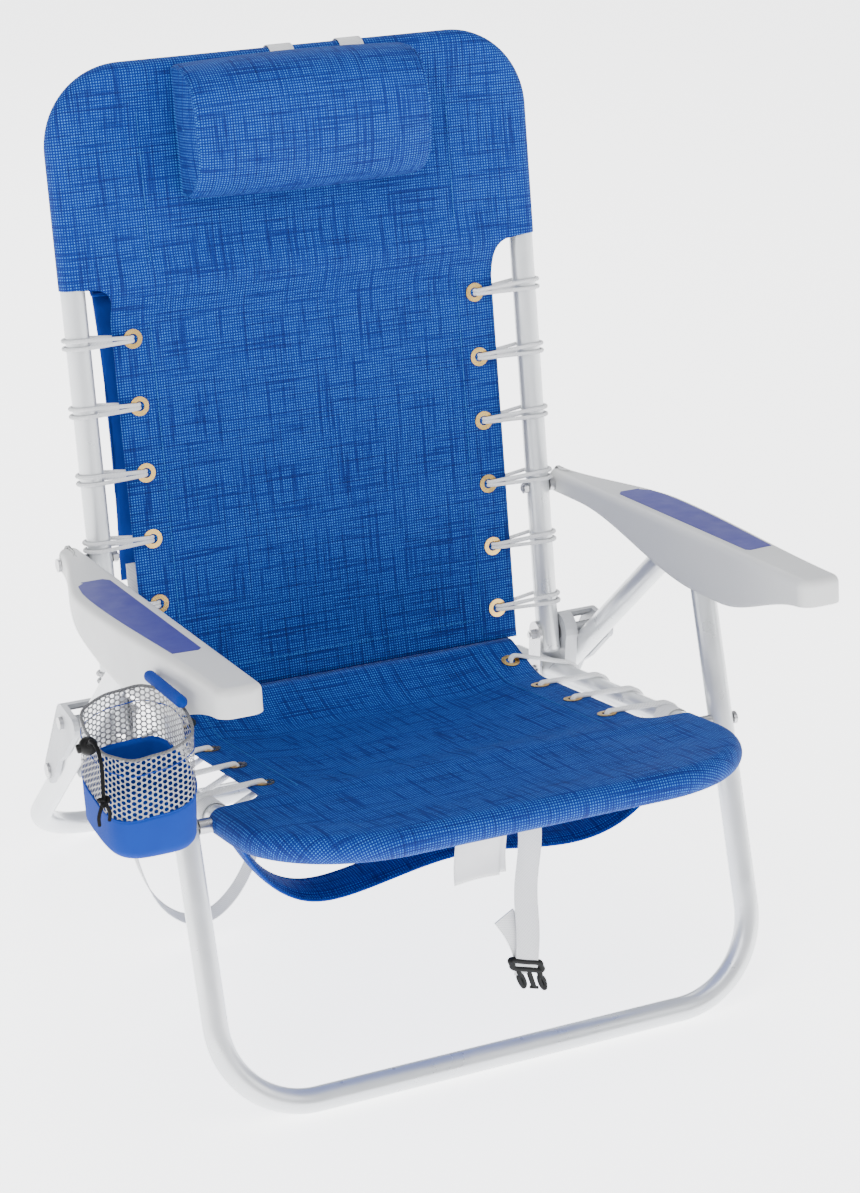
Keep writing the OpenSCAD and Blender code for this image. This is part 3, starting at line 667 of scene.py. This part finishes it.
def makeLaces(name, place, body, nodes, x, ys, height, holes):
    build = Build()
    sign = -1 if name.endswith("left") else 1
    for y, hole in zip(ys, holes):
        hz = float(height(np.array([y]))[0]) - 0.0006
        for side in (-1, 1):
            loop = laceLoop(x, hz, y, hole, side)
            loop[:, 0] *= sign
            tubeInto(build, place(loop), lace["radius"], 10, closed=True)
    return finishPiece(makeMesh(name, build.verts, build.faces, laceCord, body, build.uvs, nodes),
                       weld=0.00001)


for sideName in ("left", "right"):
    makeLaces("back_cord_" + sideName, onBack, "back", ["back_lace_" + sideName], lace["backX"],
              [0.037 + 0.0692 * i for i in range(6)], backHeight, [0.0034] * 6)
    makeLaces("seat_cord_" + sideName, onSeat, "seat", ["seat_lace_" + sideName], lace["seatX"],
              [0.043, 0.115, 0.192, 0.269], seatHeight, [0.0060, 0.0034, 0.0034, 0.0034])
print("laces ready")

# head pillow
pillow = {"x": -0.005, "half": 0.125, "low": 0.516, "high": 0.655, "back": 0.0165, "depth": 0.066}


def makePillow():
    # a D-shaped section, flat at the back and a superellipse in front, drawn along x between two sewn-in ends
    turn = np.linspace(0, math.pi, 61)
    middle, halfY = (pillow["low"] + pillow["high"]) / 2, (pillow["high"] - pillow["low"]) / 2
    front = np.stack([halfY * np.sign(np.cos(turn)) * np.abs(np.cos(turn)) ** 0.75,
                      pillow["depth"] * np.sin(turn) ** 0.72], axis=1)
    section = np.vstack([front, np.stack([np.linspace(-halfY, halfY, 20)[1:-1], np.zeros(18)], axis=1)])
    around = np.r_[0, np.cumsum(np.linalg.norm(np.diff(section, axis=0), axis=1))]
    centre = np.array([0, pillow["depth"] * 0.45])

    def ring(x, scale):
        edge = np.exp(-(pillow["half"] - abs(x)) / 0.010)
        pucker = 1 + 0.016 * np.sin(around * 420 + x * 30) * edge * (section[:, 1] > 0.004)
        crown = 0.95 + 0.05 * (1 - (x / pillow["half"]) ** 2)
        flat = centre + (section - centre) * scale * (pucker * crown)[:, None]
        flat[:, 1] = np.maximum(flat[:, 1], 0)
        lump = wrinkle(np.full(len(flat), x), around, 5, 0.0014) * (flat[:, 1] > 0.004)
        return np.column_stack([np.full(len(flat), pillow["x"] + x), middle + flat[:, 0],
                                pillow["back"] + flat[:, 1] + lump])
    edges = [(-pillow["half"] + 0.007 * (1 - math.cos(a)), 1 - 0.06 * (1 - math.sin(a)))
             for a in np.linspace(0, math.pi / 2, 7)]
    inside = [(x, 1.0) for x in np.linspace(-pillow["half"] + 0.010, pillow["half"] - 0.010, 60)]
    stations = edges + inside + [(-x, scale) for x, scale in edges[::-1]]
    build = Build()
    rings = np.array([ring(x, scale) for x, scale in stations])
    uv = np.array([np.stack([np.full(len(around), x), around], axis=1) for x, scale in stations])
    build.grid(rings, uv, wrap=True)
    for side, outer in ((-1, rings[0]), (1, rings[-1])):
        hub = outer.mean(axis=0)
        panel = np.array([hub + (outer - hub) * k + [side * 0.004 * (1 - k * k), 0, 0]
                          for k in (1, 0.9, 0.75, 0.55, 0.3, 0.1)])
        build.grid(panel, panel[..., 1:], wrap=True)
        build.fan(panel[-1], hub + [side * 0.004, 0, 0])
    piece = makeMesh("head_cushion", onBack(np.array(build.verts)), build.faces, slingCloth, "pillow",
                     build.uvs, ["head_pillow"])
    finishPiece(piece, weld=0.0002)
    pipe = Build()
    for side in (-1, 1):
        tubeInto(pipe, onBack(ring(side * (pillow["half"] - 0.0005), 0.955)), 0.0013, 8, closed=True)
    finishPiece(makeMesh("cushion_piping", pipe.verts, pipe.faces, slingCloth, "pillow", pipe.uvs, ()),
                weld=0.00001)


makePillow()


def makePillowStraps():
    build = Build()
    r = sling["tubeRadius"] + 0.0018
    for x in (-0.008, 0.068):
        a = np.linspace(math.pi / 2, -math.pi / 2, 16)
        over = np.stack([backTube["bar"] + r * np.cos(a), r * np.sin(a)], axis=1)
        side = np.vstack([[[y, r - 0.002 + 0.002 * (y > 0.62)] for y in np.linspace(0.53, 0.64, 12)], over,
                          [[y, -r + 0.001] for y in np.linspace(0.635, 0.56, 8)]])
        ribbonInto(build, onBack(np.column_stack([np.full(len(side), x), side])), [1, 0, 0], 0.026, 0.0013)
    finishPiece(makeMesh("pillow_webbing", build.verts, build.faces, whiteWeb, "back", build.uvs,
                         ["pillow_straps"]), weld=0)


makePillowStraps()
print("pillow ready")

# arms: a moulded shell with a rounded top and a deep skirt
arm = {"inner": 0.268, "back": 0.0185, "front": 0.522, "top": 0.014, "skin": 0.0026, "round": 0.0075,
       "corner": 0.014, "depth": 0.060, "heelWidth": 0.022, "flare": 0.038, "taper": 0.016,
       "heelDepth": 0.022, "lift": 0.034}


def armEdge(u):
    # narrow at the bolt, then flared, and drawn in again towards the front
    flare = arm["flare"] * smooth((u + arm["back"]) / 0.2)
    return arm["inner"] + arm["heelWidth"] + flare - arm["taper"] * smooth((u - 0.190) / 0.330)


def armSkirt(u):
    # shallow at the bolt, deepest in the middle, and lifted at the front
    drop = (arm["depth"] - arm["heelDepth"]) * smooth((u - 0.060) / 0.250)
    return arm["heelDepth"] + drop - arm["lift"] * smooth((u - 0.360) / 0.162)


def armShell(sign):
    r, c = arm["round"], arm["corner"]
    # the top's flat part, its outline drawn in by the rounding
    u = np.linspace(-arm["back"] + c, arm["front"] - c, 70)

    def corner(cx, cy, a0, a1, n=7):
        a = np.linspace(a0, a1, n)
        return np.stack([cx + (c - r) * np.cos(a), cy + (c - r) * np.sin(a)], axis=1)
    q = math.pi / 4
    innerX = arm["inner"] + c
    outer = np.stack([armEdge(u) - r, u], axis=1)
    inner = np.stack([np.full(len(u), arm["inner"] + r), u], axis=1)
    left = np.vstack([corner(innerX, u[0], 5 * q, 4 * q)[:-1], inner,
                      corner(innerX, u[-1], 4 * q, 3 * q)[1:]])
    x0, x1 = armEdge(u[0]) - c, armEdge(u[-1]) - c
    right = np.vstack([corner(x0, u[0], 7 * q, 8 * q)[:-1], outer, corner(x1, u[-1], 0, q)[1:]])
    n = 12
    bottom = np.vstack([corner(innerX, u[0], 5 * q, 6 * q)[:-1],
                        np.stack([np.linspace(innerX, x0, n), np.full(n, u[0] - c + r)], axis=1),
                        corner(x0, u[0], 6 * q, 7 * q)[1:]])
    top = np.vstack([corner(innerX, u[-1], 3 * q, 2 * q)[:-1],
                     np.stack([np.linspace(innerX, x1, n), np.full(n, u[-1] + c - r)], axis=1),
                     corner(x1, u[-1], 2 * q, q)[1:]])
    patch = coons(bottom, top, left, right)
    build = Build()
    build.grid(np.dstack([patch, np.full(patch.shape[:2], arm["top"])]))
    rim = np.vstack([bottom[:-1], right[:-1], top[::-1][:-1], left[::-1][:-1]])
    d = directions(np.column_stack([rim, np.zeros(len(rim))]), closed=True)
    normal = np.stack([d[:, 1], -d[:, 0]], axis=1)
    low = arm["top"] - armSkirt(np.clip(rim[:, 1], -arm["back"], arm["front"]))
    rings = []
    for t in np.linspace(0, math.pi / 2, 8):
        flat = rim + normal * r * math.sin(t)
        rings.append(np.column_stack([flat, np.full(len(rim), arm["top"] - r + r * math.cos(t))]))
    for s in np.linspace(0.08, 1, 12):
        rings.append(np.column_stack([flat, (arm["top"] - r) * (1 - s) + low * s]))
    build.grid(np.array(rings), wrap=True)
    points = onArm(np.array(build.verts) * [sign, 1, 1])
    return build, points


def makeArm(sideName, sign):
    build, points = armShell(sign)
    piece = makeMesh("arm_shell_" + sideName, points, build.faces, armPlastic, sideName + "_arm", build.uvs,
                     ["arm_" + sideName])
    finishPiece(piece, weld=0.0002, thickness=arm["skin"], even=False)
    return piece


for sideName, sign in (("left", -1), ("right", 1)):
    makeArm(sideName, sign)
print("arms ready")

# drink holder
holder = {"rim": 0.447, "bottom": 0.340, "baseFront": 0.040, "baseRear": 0.064, "wall": 0.0012,
          "power": 3.4}
holderBox = [np.array(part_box("drink_base")[0]), np.array(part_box("drink_base")[1])]
holderMiddle = (holderBox[0] + holderBox[1]) / 2
holderHalf = (holderBox[1] - holderBox[0]) / 2


def holderRing(turn, grow=0.0):
    # a rounded rectangle as a superellipse
    c, s = np.cos(turn), np.sin(turn)
    x = holderMiddle[0] + (holderHalf[0] + grow) * np.sign(c) * np.abs(c) ** (2 / holder["power"])
    y = holderMiddle[1] + (holderHalf[1] + grow) * np.sign(s) * np.abs(s) ** (2 / holder["power"])
    return np.stack([x, y], axis=1)


def makeHolder():
    turn = np.linspace(0, 2 * math.pi, 161)
    plan = holderRing(turn)
    around = np.r_[0, np.cumsum(np.linalg.norm(np.diff(plan, axis=0), axis=1))]
    split = holder["bottom"] + holder["baseFront"] + (holder["baseRear"] - holder["baseFront"]) * (
        0.5 + 0.5 * np.cos(turn - rad(45)))
    rim = holder["rim"] + 0.007 * np.cos(turn) + 0.005 * np.sin(turn) + 0.0015 * np.sin(turn * 5 + 1)

    def wall(build, low, high, levels, bulge):
        rings, uvs = [], []
        for k in range(levels):
            t = k / (levels - 1)
            z = low + (high - low) * t
            h = (z - holder["bottom"]) / (holder["rim"] - holder["bottom"])
            grow = bulge * np.sin(np.pi * np.clip(h, 0, 1)) - 0.0040 * (1 - smooth(h / 0.08))
            grow = grow + 0.0012 * np.sin(turn * 7 + h * 4) * np.clip(h, 0, 1)
            rings.append(np.column_stack([holderRing(turn, grow), z]))
            uvs.append(np.stack([around, np.broadcast_to(z, turn.shape)], axis=1))
        build.grid(np.array(rings), np.array(uvs))
        return rings
    base = Build()
    rings = wall(base, np.full(len(turn), holder["bottom"] + 0.002), split, 14, 0.0015)
    inner = [rings[0]]
    for s in (0.75, 0.5, 0.25, 0.08):
        centre = np.array([*holderMiddle[:2], 0])
        flat = (rings[0] - centre) * [s, s, 1] + centre
        flat[:, 2] = holder["bottom"] + 0.0006
        inner.append(flat)
    base.grid(np.array(inner[::-1]))
    base.fan(inner[-1][:-1], inner[-1][:-1].mean(axis=0), flip=True)
    finishPiece(makeMesh("holder_base", base.verts, base.faces, blueCloth, "drink_holder", base.uvs,
                         ["drink_base"]), weld=0.0002, thickness=holder["wall"])
    net = Build()
    wall(net, split, rim, 22, 0.0015)
    finishPiece(makeMesh("holder_net", net.verts, net.faces, netting, "drink_holder", net.uvs, ["drink_mesh"]), weld=0.0002)
    band = Build()
    tubeInto(band, np.column_stack([plan, rim])[:-1], 0.0014, 8, closed=True)
    finishPiece(makeMesh("holder_rim", band.verts, band.faces, netCord, "drink_holder", band.uvs, ()), weld=0)
    # binding round the join of base and net, and a row of stitches under the rim
    trim = Build()
    for level, radius, grow in ((split, 0.0009, 0.0016), (rim - 0.015, 0.0005, 0.0012)):
        tubeInto(trim, np.column_stack([holderRing(turn, grow), level])[:-1], radius, 8, closed=True)
    finishPiece(makeMesh("holder_binding", trim.verts, trim.faces, blueCloth, "drink_holder", trim.uvs, ()), weld=0)


makeHolder()


def makeHanger():
    # the piped roll that the holder's arm side is sewn to, closed at both ends
    low, high = np.array(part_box("drink_hanger")[0]), np.array(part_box("drink_hanger")[1])
    x = (low[0] + high[0]) / 2
    a, b = np.array([x, high[1], low[2] + 0.0055]), np.array([x, low[1], high[2] - 0.0055])
    t = np.linspace(0, 1, 40)
    radius = 0.0055 * np.clip(np.minimum(t, 1 - t) * 14, 0.05, 1) ** 0.5
    path = a + t[:, None] * (b - a)
    rings = tube(path, 1.0, 18)
    rings = path[:, None] + (rings - path[:, None]) * (radius * (1 + 0.006 * np.sin(t * 60)))[:, None, None]
    build = Build()
    build.grid(rings, np.stack(np.meshgrid(np.linspace(0, 0.035, 18), t * 0.1), axis=2), wrap=True)
    build.fan(rings[0], path[0], flip=True)
    build.fan(rings[-1], path[-1])
    finishPiece(makeMesh("holder_roll", build.verts, build.faces, blueCloth, "left_arm", build.uvs,
                         ["drink_hanger"]), weld=0.00002)


makeHanger()
print("drink holder ready")

# storage pouch and its webbing
pouch = {"half": 0.220, "low": 0.130, "high": 0.428, "front": -0.019, "depth": 0.026}


def makePouch():
    # rings up the bag; each is a flat oval that bellies out low down and closes at the bottom
    turn = np.linspace(0, 2 * math.pi, 120, endpoint=False)
    c, s = np.cos(turn), np.sin(turn)
    rings, uvs = [], []
    for t in np.r_[0, 0.01, 0.03, 0.06, np.linspace(0.1, 1, 22)]:
        belly = 0.12 + 0.88 * min(1, (t / 0.16)) ** 0.5 * (1 - 0.45 * max(0, t - 0.35))
        x = (pouch["half"] - 0.004 * math.sin(3 * t)) * np.sign(c) * np.abs(c) ** 0.35
        z = pouch["front"] - pouch["depth"] / 2 + pouch["depth"] / 2 * belly * np.sign(s) * np.abs(s) ** 0.9
        z = z - 0.004 * np.sin(4 * x / pouch["half"] + 5 * t) * (s < 0) * min(1, t * 3)
        y = pouch["low"] + (pouch["high"] - pouch["low"]) * t + 0 * x
        rings.append(np.stack([x, y - 0.006 * np.cos(x / pouch["half"] * math.pi) * t * (s < 0), z], axis=1))
        uvs.append(np.stack([x + 1.0 * (s > 0), y], axis=1))
    build = Build()
    build.grid(np.array(rings), np.array(uvs), wrap=True)
    build.fan(rings[0], rings[0].mean(axis=0), flip=True)
    points = onBack(np.array(build.verts))
    finishPiece(makeMesh("rear_pouch", points, build.faces, blueCloth, "back", build.uvs, ["storage_pouch"]), weld=0.0002, thickness=0.0012, even=False)
    rim = Build()
    tubeInto(rim, onBack(rings[-1]), 0.0018, 8, closed=True)
    finishPiece(makeMesh("pouch_hem", rim.verts, rim.faces, blueCloth, "back", rim.uvs, ()),
                weld=0)


makePouch()
build = Build()
for side in (-1, 1):
    y = np.linspace(0.024, 0.150, 16)
    ribbonInto(build,
               onBack(np.stack([np.full(16, side * 0.205), y, -0.0165 - 0.004 * np.sin(y * 20)], axis=1)),
               [1, 0, 0], 0.025, 0.0013)
finishPiece(makeMesh("pouch_bands", build.verts, build.faces, whiteWeb, "back", build.uvs, ["pouch_webbing"]), weld=0)
print("pouch ready")

# shoulder strap and webbing under the seat
strap = {"near": -0.318, "width": 0.046, "thick": 0.008, "half": 0.235}


def strapHeight(x):
    mm = x * 1000
    return (181 + 7 * np.cos(np.radians(mm * 1.4)) - 9 * np.exp(-((mm + 175) / 60) ** 2)
            + 72 * (np.abs(mm) / 238) ** 7) / 1000


def makeStrap():
    # a padded band: an oval section, plump between its stitched edges, swept along the hanging line
    x = strap["half"] * np.sin(np.linspace(-math.pi / 2, math.pi / 2, 90))
    path = onFloor(np.stack([x, np.full(90, strap["near"] + strap["width"] / 2), strapHeight(x)], axis=1))
    d = directions(path)
    up = np.cross(d, [0, 1.0, 0])
    turn = np.linspace(0, 2 * math.pi, 28, endpoint=False)
    c, s = np.cos(turn), np.sin(turn)
    across = strap["width"] / 2 * np.sign(c) * np.abs(c) ** 0.7
    plump = strap["thick"] / 2 * s * (1 - 0.45 * np.exp(-((np.abs(across) - 0.016) / 0.0022) ** 2))
    rings = path[:, None] + across[None, :, None] * np.array([0, 1.0, 0]) + plump[None, :, None] * up[:, None]
    along = np.r_[0, np.cumsum(np.linalg.norm(np.diff(path, axis=0), axis=1))]
    uv = np.stack(np.meshgrid(across, along), axis=2)
    build = Build()
    build.grid(rings, uv, wrap=True)
    build.fan(rings[0], path[0], flip=True)
    build.fan(rings[-1], path[-1])
    piece = makeMesh("carry_strap", build.verts, build.faces, slingCloth, "seat", build.uvs,
                     ["shoulder_strap"])
    finishPiece(piece, weld=0.00005)
    pipe = Build()
    for side in (-1, 1):
        tubeInto(pipe, path + [0, side * strap["width"] / 2, 0], 0.0013, 8)
    finishPiece(makeMesh("strap_piping", pipe.verts, pipe.faces, blueCloth, "seat", pipe.uvs, ()),
                weld=0)


makeStrap()


def makeAnchors():
    # webbing sewn round each side tube
    build = Build()
    for side in (-1, 1):
        a = np.linspace(0, 2 * math.pi, 41)
        r = pipeRadius + 0.0012
        ring = np.stack([side * (seatTube["side"] + r * np.cos(a)), np.full(41, 0.2875), r * np.sin(a)],
                        axis=1)
        world = onSeat(ring)
        ribbonInto(build, world, [0, -math.cos(seatRise), math.sin(seatRise)], 0.025, 0.0013)
    finishPiece(makeMesh("strap_slings", build.verts, build.faces, whiteWeb, "seat", build.uvs,
                         ["strap_anchors"]), weld=0)


makeAnchors()
slack = [[-0.252, -0.022, 0.198], [-0.2545, -0.034, 0.150], [-0.252, -0.044, 0.115], [-0.244, -0.050, 0.082],
         [-0.232, -0.055, 0.055], [-0.215, -0.058, 0.036], [-0.195, -0.060, 0.026], [-0.172, -0.062, 0.030],
         [-0.150, -0.062, 0.048], [-0.132, -0.060, 0.074], [-0.120, -0.056, 0.102]]
build = Build()
ribbonInto(build, onFloor(spline(slack, 70)), [0, 1, 0.15], 0.020, 0.0014)
finishPiece(makeMesh("slack_webbing", build.verts, build.faces, whiteWeb, "seat", build.uvs, ["strap_loop"]), weld=0)

chest = {"x": 0.029, "y": -0.400, "top": 0.2777, "low": 0.090}
build = Build()
z = np.linspace(chest["top"], chest["low"], 40)
fall = np.stack([chest["x"] + 0.0012 * np.sin(z * 60), chest["y"] + 0.0012 * np.sin(z * 45) * (z < 0.26),
                 z], axis=1)
ribbonInto(build, onFloor(fall), [1, 0, 0], 0.025, 0.0014)
tail = spline([[0.029, -0.3975, 0.100], [0.0255, -0.3965, 0.118], [0.017, -0.396, 0.138],
               [0.006, -0.3955, 0.156]], 24)
ribbonInto(build, onFloor(tail), [1, 0, 0.45], 0.023, 0.0014)
finishPiece(makeMesh("chest_webbing", build.verts, build.faces, whiteWeb, "chest_strap", build.uvs,
                     ["buckle_webbing"]), weld=0)

buckle = {"x": 0.029, "y": -0.400, "bar": 0.0985, "tilt": rad(18)}


def makeBuckle():
    # the plug half: a frame the webbing turns round, two sprung prongs with open heads, and a
    # guide between them
    def place(points):
        p = np.asarray(points, float)  # x across, y down from the bar, z towards the front
        c, s = math.cos(buckle["tilt"]), math.sin(buckle["tilt"])
        return onFloor(np.stack([buckle["x"] + p[:, 0] * c + p[:, 1] * s, buckle["y"] - p[:, 2],
                                 buckle["bar"] - p[:, 0] * s - p[:, 1] * c], axis=1))
    build = Build()
    frame = spline([[-0.0155, -0.006, 0], [0, -0.006, 0], [0.0155, -0.006, 0], [0.0165, 0, 0],
                    [0.0155, 0.006, 0], [0, 0.006, 0], [-0.0155, 0.006, 0], [-0.0165, 0, 0]], 64, closed=True)
    tubeInto(build, place(frame * [1, 0.8, 1]), 0.0033, 12, closed=True)
    for side in (-1, 1):
        prong = spline([[side * 0.0125, 0.006, 0], [side * 0.0125, 0.010, 0], [side * 0.0115, 0.014, 0]], 12)
        tubeInto(build, place(prong), 0.0030, 12)
        head = [[side * 0.0115, 0.013, 0], [side * 0.0145, 0.017, 0], [side * 0.0140, 0.025, 0],
                [side * 0.0120, 0.029, 0], [side * 0.0095, 0.025, 0], [side * 0.0095, 0.017, 0]]
        tubeInto(build, place(spline(head, 40, closed=True)), 0.0024, 10, closed=True)
    tubeInto(build, place(np.linspace([0, 0.006, 0], [0, 0.0285, 0], 14)), 0.0027, 12)
    tubeInto(build, place(np.linspace([-0.0045, 0.0288, 0], [0.0045, 0.0288, 0], 8)), 0.0016, 10)
    return finishPiece(makeMesh("buckle_plug", build.verts, build.faces, blackPlastic, "chest_strap",
                                build.uvs, ["buckle_male"]), weld=0)


makeBuckle()
build = Build()
for k in range(2):
    u, v = np.meshgrid(np.linspace(0, 1, 14), np.linspace(0, 1, 16))
    curl = 0.004 * np.sin(u * 2.4 + k) * (1 - v) + 0.0018 * np.sin(v * 5)
    points = np.dstack([-0.068 + 0.007 * k + 0.048 * u, -0.4397 + 0.004 * k + curl - 0.002,
                        0.229 + 0.002 * k + 0.054 * v])
    build.grid(onFloor(points), np.dstack([u * 0.048, v * 0.054]))
labels = makeMesh("blank_labels", build.verts, build.faces, labelTape, "seat", build.uvs, ["care_labels"])
finishPiece(labels, weld=0, thickness=0.0005)
print("straps ready")

# floor and light
floorFinish = Finish("floor", (0.93, 0.93, 0.93), 0.9)
floorFinish.shader.inputs["Emission Color"].default_value = (1, 1, 1, 1)
floorFinish.shader.inputs["Emission Strength"].default_value = 3.2
floorData = bpy.data.meshes.new("floor")
floorData.from_pydata([(x * 30, y * 30, -0.0005) for x, y in ((-1, -1), (1, -1), (1, 1), (-1, 1))], [],
                      [(0, 1, 2, 3)])
floorData.materials.append(floorFinish.material)
floor = bpy.data.objects.new("floor", floorData)
bpy.context.scene.collection.objects.link(floor)


def areaLight(name, place, target, size, power):
    light = bpy.data.objects.new(name, bpy.data.lights.new(name, "AREA"))
    light.data.shape, light.data.size, light.data.energy = "DISK", size, power
    bpy.context.scene.collection.objects.link(light)
    light.location = place
    look = np.array(target) - np.array(place)
    light.rotation_euler = (math.acos(-look[2] / np.linalg.norm(look)), 0, math.atan2(-look[0], look[1]))
    return light


areaLight("key", (-2.6, -2.2, 3.2), (0, 0, 0.4), 2.2, 90)
areaLight("fill", (2.8, -2.6, 2.2), (0, 0, 0.4), 2.6, 45)
areaLight("top", (-0.4, -0.9, 3.2), (0, -0.1, 0.3), 1.8, 45)
areaLight("rim", (0.6, 3.0, 2.6), (0, 0, 0.5), 2.0, 45)
world = bpy.data.worlds.new("studio")
world.use_nodes = True
world.node_tree.nodes["Background"].inputs[0].default_value = (0.93, 0.95, 1.0, 1)
world.node_tree.nodes["Background"].inputs[1].default_value = 0.65
bpy.context.scene.world = world
print("stage ready")
